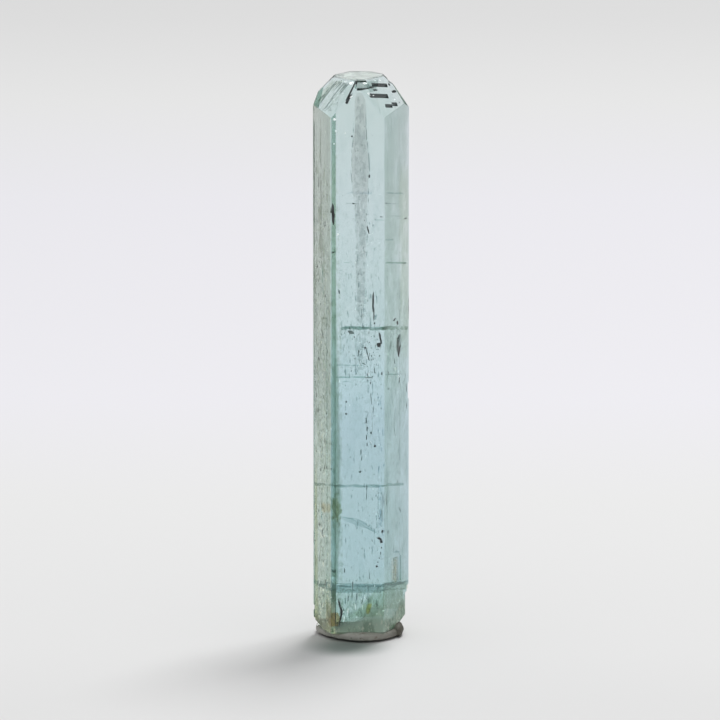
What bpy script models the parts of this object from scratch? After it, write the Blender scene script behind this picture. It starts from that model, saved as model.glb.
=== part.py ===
"""Aquamarine crystal standing upright on a pad of mounting putty.

Units are metres, +Z is up. The origin is the middle of the underside, and the crystal's broad front
face looks along -Y. An azimuth of 0 degrees is that front face's own direction, and a positive
azimuth turns towards +X. A depth is measured down from the crystal's flat top.
"""

import math

import bmesh
import bpy
from mathutils import Matrix, Vector

MM = 0.001

# Heights of the whole part
TOTAL_HEIGHT = 53.4 * MM
PAD_HEIGHT = 0.8 * MM
GAP = 0.3 * MM  # left between the crystal and the putty that it stands on
CRYSTAL_FOOT = PAD_HEIGHT + GAP

# The six prism faces of a beryl, 60 degrees apart: azimuth, and distance of the face from the axis
PRISM_FACES = {
    0: 3.33 * MM,
    60: 3.53 * MM,
    120: 4.26 * MM,
    180: 3.33 * MM,
    -120: 3.69 * MM,
    -60: 4.10 * MM,
}
RIGHT_EDGE = 4.5 * MM  # the upright edges furthest to the right and to the left
LEFT_EDGE = 4.5 * MM

# Pyramid faces of the tip: azimuth, slope in degrees, and how far from the axis each meets the flat
# top. Beryl's two usual pyramids slope at 45 and 57 degrees.
STEPPED_FACE = (52, 56.7, 1.50 * MM)
TIP_FACES = (
    STEPPED_FACE,
    (-51, 56.7, 2.04 * MM),
    (79, 56.7, 2.24 * MM),
    (101, 56.7, 2.50 * MM),
    (90, 45.0, 2.06 * MM),
    (-90, 45.0, 2.48 * MM),
    (-101, 74.0, 3.52 * MM),
    (-128, 56.7, 2.30 * MM),
    (128, 52.0, 2.20 * MM),
    (180, 45.0, 2.45 * MM),
)

# The stepped face's terraces: depth of the lip at its middle, height of the riser behind it, and the
# sideways span it covers. All are tilted a little in the plane of the face.
TERRACES = (
    (0.88 * MM, 0.33 * MM, (-0.74 * MM, 1.31 * MM)),
    (1.74 * MM, 0.37 * MM, (-1.74 * MM, 0.71 * MM)),
    (2.68 * MM, 0.31 * MM, (-0.30 * MM, 0.62 * MM)),
    (2.66 * MM, 0.33 * MM, (0.70 * MM, 1.40 * MM)),
)
TERRACE_TILT = -10.3

# Single notches in the other faces of the tip: azimuth of the riser, its distance from the axis,
# sideways centre, width, and depth of the flat tread
TIP_NOTCHES = (
    (0, 2.00 * MM, 0.20 * MM, 1.20 * MM, 0.81 * MM),
    (72, 3.05 * MM, -0.10 * MM, 0.90 * MM, 1.90 * MM),
    (96, 2.50 * MM, 0.60 * MM, 0.90 * MM, 0.80 * MM),
    (150, 2.55 * MM, 0.00 * MM, 1.70 * MM, 0.75 * MM),
    (-146, 2.70 * MM, 0.30 * MM, 1.30 * MM, 1.10 * MM),
)

# Growth steps along the prism: azimuth of the face, sideways centre, width and depth of the strip,
# and the heights it runs between
THROUGH = (-1 * MM, 49.2 * MM)
GROWTH_STEPS = (
    (0, 2.02 * MM, 0.50 * MM, 0.07 * MM, THROUGH),
    (0, -0.35 * MM, 0.55 * MM, 0.05 * MM, (25.2 * MM, 49.2 * MM)),
    (0, -2.62 * MM, 0.44 * MM, 0.06 * MM, (-1 * MM, 25 * MM)),
    (60, 1.98 * MM, 0.80 * MM, 0.10 * MM, THROUGH),
    (60, -1.30 * MM, 0.45 * MM, 0.05 * MM, (5.4 * MM, 30.1 * MM)),
    (120, 0.95 * MM, 0.70 * MM, 0.08 * MM, THROUGH),
    (180, -1.90 * MM, 0.80 * MM, 0.07 * MM, THROUGH),
    (180, 0.30 * MM, 0.60 * MM, 0.06 * MM, (8 * MM, 49.2 * MM)),
    (180, 2.20 * MM, 0.60 * MM, 0.09 * MM, (-1 * MM, 41 * MM)),
    (-120, -1.20 * MM, 0.70 * MM, 0.07 * MM, THROUGH),
    (-120, 0.75 * MM, 0.50 * MM, 0.05 * MM, (14 * MM, 48 * MM)),
    (-60, -1.45 * MM, 0.55 * MM, 0.08 * MM, THROUGH),
    (-60, 0.90 * MM, 0.45 * MM, 0.05 * MM, (3 * MM, 33 * MM)),
)

# Shallow etch pits: azimuth of the face, sideways centre, height, width, tallness and depth
ETCH_PITS = (
    (60, 0.53 * MM, 6.5 * MM, 1.70 * MM, 2.45 * MM, 0.12 * MM),
    (60, 0.55 * MM, 29.0 * MM, 0.90 * MM, 1.20 * MM, 0.08 * MM),
    (0, 1.30 * MM, 28.6 * MM, 0.45 * MM, 1.50 * MM, 0.10 * MM),
    (0, 0.95 * MM, 18.7 * MM, 0.35 * MM, 1.30 * MM, 0.08 * MM),
    (-60, 0.10 * MM, 34.5 * MM, 0.50 * MM, 3.20 * MM, 0.07 * MM),
    (-60, 0.00 * MM, 12.0 * MM, 0.80 * MM, 1.60 * MM, 0.10 * MM),
    (180, -0.80 * MM, 20.0 * MM, 0.60 * MM, 2.60 * MM, 0.08 * MM),
    (-120, -0.10 * MM, 9.0 * MM, 0.80 * MM, 1.40 * MM, 0.09 * MM),
    (120, -0.40 * MM, 31.0 * MM, 0.60 * MM, 2.20 * MM, 0.08 * MM),
)

# Damage to the two outermost upright edges: azimuth and distance of the edge, then the height,
# tallness and depth of each break
EDGE_BREAKS = (
    (90, RIGHT_EDGE, 2.60 * MM, 2.70 * MM, 0.34 * MM),
    (90, RIGHT_EDGE, 4.10 * MM, 0.90 * MM, 0.20 * MM),
    (90, RIGHT_EDGE, 23.30 * MM, 1.50 * MM, 0.10 * MM),
    (-90, LEFT_EDGE, 2.65 * MM, 0.45 * MM, 0.12 * MM),
    (-90, LEFT_EDGE, 1.30 * MM, 0.70 * MM, 0.20 * MM),
)
BREAK_FLARE = 0.2 * MM  # how much further a break opens at its mouth than at its root

# Slanting breaks around the foot: azimuth, degrees below the horizontal that the break faces, and
# its distance from the axis and height at one point
FOOT_BREAKS = (
    (90, 44, 4.12 * MM, 1.76 * MM),
    (-82, 42, 4.42 * MM, 1.55 * MM),
    (168, 58, 3.25 * MM, 1.60 * MM),
)

# Pressed putty pad
PAD_MIDDLE_X = -0.2 * MM
PAD_RADIUS = 4.15 * MM
PAD_FLAT_AZIMUTH = -42
PAD_FLAT_SPREAD = 34
PAD_FLAT_DEPTH = 0.50 * MM
PAD_SEGMENTS = 48
PAD_UNDERSIDE_ROUND = 0.18 * MM
PAD_RIM_ROUND = 0.30 * MM
LUMP_PLACE = Vector((3.58 * MM, 0.15 * MM, 0.45 * MM))
LUMP_SIZE = Vector((0.90 * MM, 1.70 * MM, 0.80 * MM))

CUTTER_THICKNESS = 3 * MM


def direction(azimuth, rise=0.0):
    """Unit vector at an azimuth and at an angle above the horizontal, both in degrees."""
    level = math.cos(math.radians(rise))
    turn = math.radians(azimuth)
    return Vector((level * math.sin(turn), -level * math.cos(turn), math.sin(math.radians(rise))))


def clear_scene():
    for existing in list(bpy.data.objects):
        bpy.data.objects.remove(existing, do_unlink=True)


def new_collection(name):
    collection = bpy.data.collections.new(name)
    bpy.context.scene.collection.children.link(collection)
    return collection


def new_material(name, color, roughness, transmission, ior):
    material = bpy.data.materials.new(name)
    material.use_nodes = True
    shader = material.node_tree.nodes["Principled BSDF"]
    shader.inputs["Base Color"].default_value = (*color, 1.0)
    shader.inputs["Roughness"].default_value = roughness
    shader.inputs["Metallic"].default_value = 0.0
    shader.inputs["Transmission Weight"].default_value = transmission
    shader.inputs["IOR"].default_value = ior
    return material


def object_from(bm, name, collection):
    bmesh.ops.recalc_face_normals(bm, faces=bm.faces)
    mesh = bpy.data.meshes.new(name)
    bm.to_mesh(mesh)
    bm.free()
    made = bpy.data.objects.new(name, mesh)
    collection.objects.link(made)
    return made


def cleave(bm, point, normal):
    """Breaks off all that lies beyond a plane and closes the cut with one flat face."""
    everything = bm.verts[:] + bm.edges[:] + bm.faces[:]
    cut = bmesh.ops.bisect_plane(
        bm, geom=everything, dist=1e-7, plane_co=point, plane_no=normal, clear_outer=True
    )
    edges = [item for item in cut["geom_cut"] if isinstance(item, bmesh.types.BMEdge)]
    bmesh.ops.contextual_create(bm, geom=edges)


def column(bottom, top):
    """The plain six-sided column between two heights."""
    bm = bmesh.new()
    block = 20 * MM
    bmesh.ops.create_cube(bm, size=1.0)
    bmesh.ops.scale(bm, vec=(block, block, top - bottom), verts=bm.verts)
    bmesh.ops.translate(bm, vec=(0, 0, (top + bottom) / 2), verts=bm.verts)
    for azimuth, distance in PRISM_FACES.items():
        outward = direction(azimuth)
        cleave(bm, outward * distance, outward)
    return bm


def face_matrix(azimuth):
    """Turns X, Y, Z into sideways, up and outwards on the side that faces an azimuth."""
    outward = direction(azimuth)
    up = Vector((0, 0, 1))
    return Matrix((up.cross(outward), up, outward)).transposed().to_4x4()


def cutter_block(name, collection, azimuth, middle, size, flare=0.0, tilt=0.0, slope=90.0):
    """A block to cut with, placed on a face: sideways, up and outwards. Its mouth opens by flare, and
    it is tilted about its lower back edge, in the plane of a face of this slope.
    """
    bm = bmesh.new()
    bmesh.ops.create_cube(bm, size=1.0)
    bmesh.ops.scale(bm, vec=size, verts=bm.verts)
    steep = math.radians(slope)
    turn = Matrix.Rotation(math.radians(tilt), 3, Vector((0, math.cos(steep), math.sin(steep))))
    back_edge = (0, -size[1] / 2, -size[2] / 2)
    bmesh.ops.rotate(bm, cent=back_edge, matrix=turn, verts=bm.verts)
    for vertex in bm.verts:
        if flare and vertex.co.z > 0:
            vertex.co.y += math.copysign(flare, vertex.co.y)
    bmesh.ops.translate(bm, vec=middle, verts=bm.verts)
    bmesh.ops.transform(bm, matrix=face_matrix(azimuth), verts=bm.verts)
    cutter = object_from(bm, name, collection)
    cutter.display_type = "WIRE"
    cutter.hide_render = True
    return cutter


def cut_growth_steps(collection):
    for number, (azimuth, side, width, depth, (low, high)) in enumerate(GROWTH_STEPS, 1):
        out = PRISM_FACES[azimuth] - depth + CUTTER_THICKNESS / 2
        middle = (side, (low + high) / 2, out)
        size = (width, high - low, CUTTER_THICKNESS)
        cutter_block(f"growth_step_{number}", collection, azimuth, middle, size)


def cut_etch_pits(collection):
    for number, (azimuth, side, height, width, tall, depth) in enumerate(ETCH_PITS, 1):
        out = PRISM_FACES[azimuth] - depth + CUTTER_THICKNESS / 2
        size = (width, tall, CUTTER_THICKNESS)
        cutter_block(f"etch_pit_{number}", collection, azimuth, (side, height, out), size)


def cut_tread(name, collection, azimuth, riser, span, depth, tilt=0.0, slope=90.0):
    """Cuts one flat tread and the upright riser behind it into the tip."""
    left, right = span
    up = TOTAL_HEIGHT - depth + CUTTER_THICKNESS / 2
    middle = ((left + right) / 2, up, riser + CUTTER_THICKNESS / 2)
    size = (right - left, CUTTER_THICKNESS, CUTTER_THICKNESS)
    cutter_block(name, collection, azimuth, middle, size, tilt=tilt, slope=slope)


def cut_terraces(collection):
    """The riser's top lies on the stepped face, so a tread is as deep as the face falls behind it."""
    azimuth, slope, reach = STEPPED_FACE
    for number, (depth, riser_height, span) in enumerate(TERRACES, 1):
        riser = reach + (depth - riser_height) / math.tan(math.radians(slope))
        cut_tread(
            f"terrace_{number}", collection, azimuth, riser, span, depth, TERRACE_TILT, slope
        )


def cut_tip_notches(collection):
    for number, (azimuth, riser, side, width, depth) in enumerate(TIP_NOTCHES, 1):
        span = (side - width / 2, side + width / 2)
        cut_tread(f"tip_notch_{number}", collection, azimuth, riser, span, depth)


def cut_edge_breaks(collection):
    for number, (azimuth, edge, height, tall, depth) in enumerate(EDGE_BREAKS, 1):
        middle = (0, height, edge - depth + CUTTER_THICKNESS / 2)
        size = (2 * CUTTER_THICKNESS, tall, CUTTER_THICKNESS)
        slant = BREAK_FLARE * CUTTER_THICKNESS / depth / 2
        cutter_block(f"edge_break_{number}", collection, azimuth, middle, size, flare=slant)


def add_boolean(target, operation, collection=None, other=None):
    modifier = target.modifiers.new(operation.lower(), "BOOLEAN")
    modifier.operation = operation
    modifier.solver = "EXACT"
    if collection:
        modifier.operand_type = "COLLECTION"
        modifier.collection = collection
    else:
        modifier.object = other


def make_crystal(pieces, cutters):
    """A six-sided prism with a stepped pyramid tip, growth steps along its sides and a broken foot."""
    bm = column(CRYSTAL_FOOT, TOTAL_HEIGHT)
    for azimuth, slope, reach in TIP_FACES:
        top_line = direction(azimuth) * reach + Vector((0, 0, TOTAL_HEIGHT))
        cleave(bm, top_line, direction(azimuth, 90 - slope))
    for azimuth, fall, out, height in FOOT_BREAKS:
        on_break = direction(azimuth) * out + Vector((0, 0, height))
        cleave(bm, on_break, direction(azimuth, -fall))
    crystal = object_from(bm, "aquamarine_crystal", pieces)
    crystal.data.materials.append(
        new_material("pale_blue_green_beryl", (0.56, 0.78, 0.77), 0.03, 1.0, 1.577)
    )
    cut_growth_steps(cutters)
    cut_etch_pits(cutters)
    cut_terraces(cutters)
    cut_tip_notches(cutters)
    cut_edge_breaks(cutters)
    add_boolean(crystal, "DIFFERENCE", collection=cutters)
    return crystal


def pad_radius(azimuth):
    """The pad is round but for one side, where it was pressed flatter."""
    away = (azimuth - PAD_FLAT_AZIMUTH) / PAD_FLAT_SPREAD
    return PAD_RADIUS - PAD_FLAT_DEPTH * math.exp(-away * away)


def pressed_disc():
    bm = bmesh.new()
    bmesh.ops.create_cone(
        bm, cap_ends=True, segments=PAD_SEGMENTS, radius1=1.0, radius2=1.0, depth=PAD_HEIGHT
    )
    for vertex in bm.verts:
        azimuth = math.degrees(math.atan2(vertex.co.x, -vertex.co.y))
        radius = pad_radius(azimuth)
        vertex.co.x *= radius
        vertex.co.y *= radius
    bmesh.ops.translate(bm, vec=(PAD_MIDDLE_X, 0, PAD_HEIGHT / 2), verts=bm.verts)
    for top, width in ((True, PAD_RIM_ROUND), (False, PAD_UNDERSIDE_ROUND)):
        level = PAD_HEIGHT if top else 0.0
        rim = [edge for edge in bm.edges if all(abs(v.co.z - level) < 1e-6 for v in edge.verts)]
        bmesh.ops.bevel(
            bm, geom=rim, offset=width, affect="EDGES", segments=3, profile=0.5, material=-1
        )
    return bm


def make_putty(pieces, helpers):
    """A round pad pressed flat under the crystal, with a raised lump of putty at its right."""
    pad = object_from(pressed_disc(), "putty_pad", pieces)
    pad.data.materials.append(new_material("warm_grey_putty", (0.39, 0.37, 0.33), 0.7, 0.0, 1.5))
    bm = bmesh.new()
    bmesh.ops.create_uvsphere(bm, u_segments=20, v_segments=12, radius=0.5)
    bmesh.ops.scale(bm, vec=LUMP_SIZE, verts=bm.verts)
    bmesh.ops.translate(bm, vec=LUMP_PLACE, verts=bm.verts)
    lump = object_from(bm, "lump", helpers)
    lump.display_type = "WIRE"
    lump.hide_render = True
    add_boolean(pad, "UNION", other=lump)
    return pad


def main():
    clear_scene()
    pieces = new_collection("aquamarine_crystal_on_putty")
    crystal_cutters = new_collection("crystal_cutters")
    putty_helpers = new_collection("putty_helpers")
    make_crystal(pieces, crystal_cutters)
    make_putty(pieces, putty_helpers)


main()
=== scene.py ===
import math
import random

import bmesh
import bpy
from mathutils import Matrix, Vector, noise


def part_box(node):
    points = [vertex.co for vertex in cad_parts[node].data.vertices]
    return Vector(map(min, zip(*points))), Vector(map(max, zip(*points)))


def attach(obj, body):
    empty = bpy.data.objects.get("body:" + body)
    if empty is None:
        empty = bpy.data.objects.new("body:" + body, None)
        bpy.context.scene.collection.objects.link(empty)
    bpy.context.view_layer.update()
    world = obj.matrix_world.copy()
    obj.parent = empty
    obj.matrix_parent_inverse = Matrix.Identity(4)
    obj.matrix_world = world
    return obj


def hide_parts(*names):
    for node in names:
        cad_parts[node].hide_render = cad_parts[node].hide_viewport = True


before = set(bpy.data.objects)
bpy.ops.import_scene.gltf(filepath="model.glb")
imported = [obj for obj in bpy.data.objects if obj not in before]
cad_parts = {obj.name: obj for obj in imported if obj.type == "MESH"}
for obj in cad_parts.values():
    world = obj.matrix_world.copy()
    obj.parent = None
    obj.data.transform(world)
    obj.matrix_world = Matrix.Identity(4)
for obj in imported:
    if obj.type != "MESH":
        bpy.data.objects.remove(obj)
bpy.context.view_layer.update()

mm = 0.001
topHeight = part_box("aquamarine_crystal")[1].z

# Directions are given in degrees from the front, positive to the right. Lengths in the
# dictionaries are millimetres, and mm turns them into metres where they are used.


def direction(azimuth, rise=0.0):
    turn = math.radians(azimuth)
    lift = math.radians(rise)
    level = math.cos(lift)
    return Vector((level * math.sin(turn), -level * math.cos(turn), math.sin(lift)))


def sideMatrix(azimuth):
    # turns X, Y, Z into sideways, up and outwards on the side that looks along azimuth
    outward = direction(azimuth)
    up = Vector((0, 0, 1))
    return Matrix((up.cross(outward), up, outward)).transposed().to_4x4()


def toMetres(bm):
    bmesh.ops.scale(bm, vec=(mm, mm, mm), verts=bm.verts)


def pourInto(bm, part):
    # adds one bmesh to another
    flat = bpy.data.meshes.new("part")
    part.to_mesh(flat)
    part.free()
    bm.from_mesh(flat)
    bpy.data.meshes.remove(flat)


def objectFrom(bm, name, *materials):
    bmesh.ops.recalc_face_normals(bm, faces=bm.faces)
    mesh = bpy.data.meshes.new(name)
    bm.to_mesh(mesh)
    bm.free()
    for material in materials:
        mesh.materials.append(material)
    made = bpy.data.objects.new(name, mesh)
    bpy.context.scene.collection.objects.link(made)
    return made


def settle(piece):
    # puts what the modifiers make into the piece's own mesh
    graph = bpy.context.evaluated_depsgraph_get()
    finished = bpy.data.meshes.new_from_object(piece.evaluated_get(graph))
    before = piece.data
    piece.modifiers.clear()
    piece.data = finished
    bpy.data.meshes.remove(before)


def cutAway(solid, cutters):
    # takes every cutter out of the solid at once, then throws the cutters away
    tray = bpy.data.collections.new("cutters")
    bpy.context.scene.collection.children.link(tray)
    for cutter in cutters:
        tray.objects.link(cutter)
    cut = solid.modifiers.new("cut", "BOOLEAN")
    cut.operation = "DIFFERENCE"
    cut.solver = "EXACT"
    cut.operand_type = "COLLECTION"
    cut.collection = tray
    settle(solid)
    for cutter in cutters:
        bpy.data.objects.remove(cutter, do_unlink=True)
    bpy.data.collections.remove(tray)


def standFor(piece, node):
    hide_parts(node)
    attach(piece, "root")


def rideInside(piece):
    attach(piece, "root")


# Shader helpers. Wherever a node takes a value, it can take another node's output instead.


def feed(tree, node, values):
    for name, value in values.items():
        socket = node.inputs[name]
        if isinstance(value, bpy.types.NodeSocket):
            tree.links.new(value, socket)
        else:
            socket.default_value = (*value, 1.0) if socket.type == "RGBA" else value


def addNode(tree, kind, values, output=0, **settings):
    # makes a node and gives back one of its outputs
    node = tree.nodes.new("ShaderNode" + kind)
    for setting, value in settings.items():
        setattr(node, setting, value)
    feed(tree, node, values)
    return node.outputs[output]


def addRamp(tree, share, stops):
    # stops are (position, colour), in order
    output = addNode(tree, "ValToRGB", {"Fac": share})
    elements = output.node.color_ramp.elements
    while len(elements) < len(stops):
        elements.new(0.5)
    for element, (position, color) in zip(elements, stops):
        element.position = position
        element.color = (*color, 1.0)
    return output


def mixColors(tree, first, second, share, blend="MIX"):
    values = {0: share, 6: first, 7: second}
    return addNode(tree, "Mix", values, 2, data_type="RGBA", blend_type=blend)


def remap(tree, value, low, high, toLow=0.0, toHigh=1.0, interpolation="LINEAR"):
    values = {
        "Value": value, "From Min": low, "From Max": high, "To Min": toLow, "To Max": toHigh,
    }
    return addNode(tree, "MapRange", values, interpolation_type=interpolation)


def objectPlace(tree, axis=None):
    # a point's place on its object, or how far along one axis it lies
    place = addNode(tree, "TexCoord", {}, "Object")
    return addNode(tree, "SeparateXYZ", {"Vector": place}, axis) if axis else place


def stored(tree, name, output="Color"):
    return addNode(tree, "Attribute", {}, output, attribute_name=name)


def newMaterial(name):
    material = bpy.data.materials.new(name)
    material.use_nodes = True
    return material, material.node_tree, material.node_tree.nodes["Principled BSDF"]


def newGroup(name, inputs, output):
    # inputs are (name, kind, value) and the output is one number
    tree = bpy.data.node_groups.new(name, "ShaderNodeTree")
    for label, kind, value in inputs:
        socket = tree.interface.new_socket(label, in_out="INPUT", socket_type="NodeSocket" + kind)
        if value is not None:
            socket.default_value = value
    tree.interface.new_socket(output, in_out="OUTPUT", socket_type="NodeSocketFloat")
    return tree, tree.nodes.new("NodeGroupInput").outputs, tree.nodes.new("NodeGroupOutput")


def makeStreaks():
    # fine lines along the length of the crystal: a height between 0 and 1
    tree, given, out = newGroup("growthStreaks", [
        ("Place", "Vector", None), ("Across", "Float", 3000.0), ("Along", "Float", 40.0),
    ], "Height")
    across, lengthwise = given["Across"], given["Along"]
    spread = addNode(tree, "CombineXYZ", {"X": across, "Y": across, "Z": lengthwise})
    scaled = addNode(tree, "VectorMath", {0: given["Place"], 1: spread}, operation="MULTIPLY")
    values = {"Vector": scaled, "Scale": 1.0, "Detail": 3.0, "Roughness": 0.6}
    feed(tree, out, {"Height": addNode(tree, "TexNoise", values, "Fac")})
    return tree


def makeClouds():
    # soft patches: 0 below Low, 1 above High. Lean slants them, and they thin out with Density
    tree, given, out = newGroup("cloudPatches", [
        ("Place", "Vector", None), ("Scale", "Float", 600.0), ("Stretch", "Float", 0.4),
        ("Lean", "Float", 0.0), ("Low", "Float", 0.45), ("High", "Float", 0.6),
        ("Density", "Float", 1.0),
    ], "Mask")
    values = {"Vector": given["Place"], "Angle": given["Lean"]}
    turned = addNode(tree, "VectorRotate", values, rotation_type="Y_AXIS")
    spread = addNode(tree, "CombineXYZ", {"X": 1.0, "Y": 1.0, "Z": given["Stretch"]})
    scaled = addNode(tree, "VectorMath", {0: turned, 1: spread}, operation="MULTIPLY")
    values = {"Vector": scaled, "Scale": given["Scale"], "Detail": 4.0, "Roughness": 0.6}
    grain = addNode(tree, "TexNoise", values, "Fac")
    thinned = addNode(tree, "Math", {0: grain, 1: given["Density"]}, operation="MULTIPLY")
    cut = remap(tree, thinned, given["Low"], given["High"], interpolation="SMOOTHSTEP")
    feed(tree, out, {"Mask": cut})
    return tree


streaks = makeStreaks()
clouds = makeClouds()
print("shader groups ready")


def cloudMask(tree, pattern):
    return addNode(tree, "Group", {"Place": objectPlace(tree), **pattern}, node_tree=clouds)


# Camera and studio

studio = {
    "cameraDistance": 716.0,
    "cameraRise": 12.0,
    "aim": (-0.094, 26.37),  # sideways and up
    "viewWidth": 67.5,
    "sensor": 36.0,
    "floorSize": 1500.0,
    # painted light falloff on the floor, brightest a little behind the crystal and darker towards the
    # front and the back, from the front edge of the picture to the back: distance and colour
    "floorPaintedFalloff": [
        (-60, (0.70, 0.70, 0.70)), (-25, (0.715, 0.715, 0.715)), (-8, (0.735, 0.735, 0.735)),
        (56, (0.742, 0.742, 0.742)), (103, (0.750, 0.743, 0.778)), (157, (0.730, 0.722, 0.757)),
        (218, (0.709, 0.702, 0.737)), (288, (0.674, 0.674, 0.674)), (352, (0.617, 0.617, 0.617)),
        (500, (0.55, 0.55, 0.55)),
    ],
    "floorRoughness": 0.9,
    # a painted shadow on the floor at the foot of the crystal: its tint, its middle and reach, and how
    # it fades
    "paintedContactShadow": (0.36, 0.42, 0.39),  # the green-tinted dark at the foot of the crystal
    "paintedShadowPlace": (-1.4, -5.2, 4.9),  # its middle and its reach
    "paintedShadowFade": 0.85,  # the share of its reach over which it fades out
    "softboxPlace": (250.0, 450.0, 1200.0),
    "softboxSize": 420.0,
    "softboxWatts": 10.4,
    "wallShade": 0.28,
    "roofShade": 0.70,
    "bounces": 32,  # light crosses many faces inside the crystal
}


def lookingBack(away):
    return (-away).to_track_quat("-Z", "Y").to_euler()


def makeCamera():
    camera = bpy.data.cameras.new("stillCamera")
    camera.sensor_width = studio["sensor"]
    camera.lens = studio["sensor"] * studio["cameraDistance"] / studio["viewWidth"]
    camera.clip_start = 0.01
    camera.clip_end = 20
    placed = bpy.data.objects.new("stillCamera", camera)
    bpy.context.scene.collection.objects.link(placed)
    side, height = studio["aim"]
    away = direction(0, studio["cameraRise"])
    placed.location = Vector((side, 0, height)) * mm + away * studio["cameraDistance"] * mm
    placed.rotation_euler = lookingBack(away)
    bpy.context.scene.camera = placed


def makeFloorMaterial():
    material, tree, shader = newMaterial("paleSweep")
    falloffStops = studio["floorPaintedFalloff"]
    near, far = falloffStops[0][0], falloffStops[-1][0]
    # the floor's colour carries the painted light falloff along its depth
    depth = remap(tree, objectPlace(tree, "Y"), near * mm, far * mm)
    shade = addRamp(tree, depth, [((away - near) / (far - near), color) for away, color in falloffStops])
    # the painted contact shadow, darkest at its middle and fading out over its reach
    side, back, reach = studio["paintedShadowPlace"]
    centred = addNode(tree, "Mapping", {
        "Vector": objectPlace(tree), "Location": (-side / reach, -back / reach, 0),
        "Scale": (1000 / reach, 1000 / reach, 0),
    })
    spot = addNode(tree, "TexGradient", {"Vector": centred}, "Fac", gradient_type="SPHERICAL")
    fade = remap(tree, spot, 0.0, studio["paintedShadowFade"], interpolation="SMOOTHSTEP")
    color = mixColors(tree, shade, studio["paintedContactShadow"], fade, "MULTIPLY")
    feed(tree, shader, {"Base Color": color, "Roughness": studio["floorRoughness"]})
    return material


def makeWorld():
    # pale overhead, dim walls beyond the floor
    world = bpy.data.worlds.new("studioRoom")
    bpy.context.scene.world = world
    world.use_nodes = True
    tree = world.node_tree
    look = addNode(tree, "TexCoord", {}, "Generated")
    height = addNode(tree, "SeparateXYZ", {"Vector": look}, "Z")
    wall, roof = (studio["wallShade"],) * 3, (studio["roofShade"],) * 3
    shade = addRamp(tree, height, [(0.0, wall), (0.35, wall), (0.8, roof)])
    feed(tree, tree.nodes["Background"], {"Color": shade})


def makeSoftbox():
    lamp = bpy.data.lights.new("softbox1", "AREA")
    lamp.shape = "RECTANGLE"
    lamp.size = lamp.size_y = studio["softboxSize"] * mm
    lamp.energy = studio["softboxWatts"]
    placed = bpy.data.objects.new("softbox1", lamp)
    bpy.context.scene.collection.objects.link(placed)
    placed.location = Vector(studio["softboxPlace"]) * mm
    placed.rotation_euler = lookingBack(placed.location)


def makeStudio():
    bm = bmesh.new()
    bmesh.ops.create_grid(bm, x_segments=8, y_segments=8, size=studio["floorSize"] * mm)
    objectFrom(bm, "studioFloor", makeFloorMaterial())
    makeWorld()
    makeSoftbox()
    scene = bpy.context.scene
    scene.view_settings.view_transform = "Standard"
    scene.cycles.max_bounces = studio["bounces"]
    scene.cycles.transmission_bounces = studio["bounces"]
    scene.cycles.transparent_max_bounces = studio["bounces"]


makeCamera()
makeStudio()
print("camera and studio ready")


# The crystal

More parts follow.
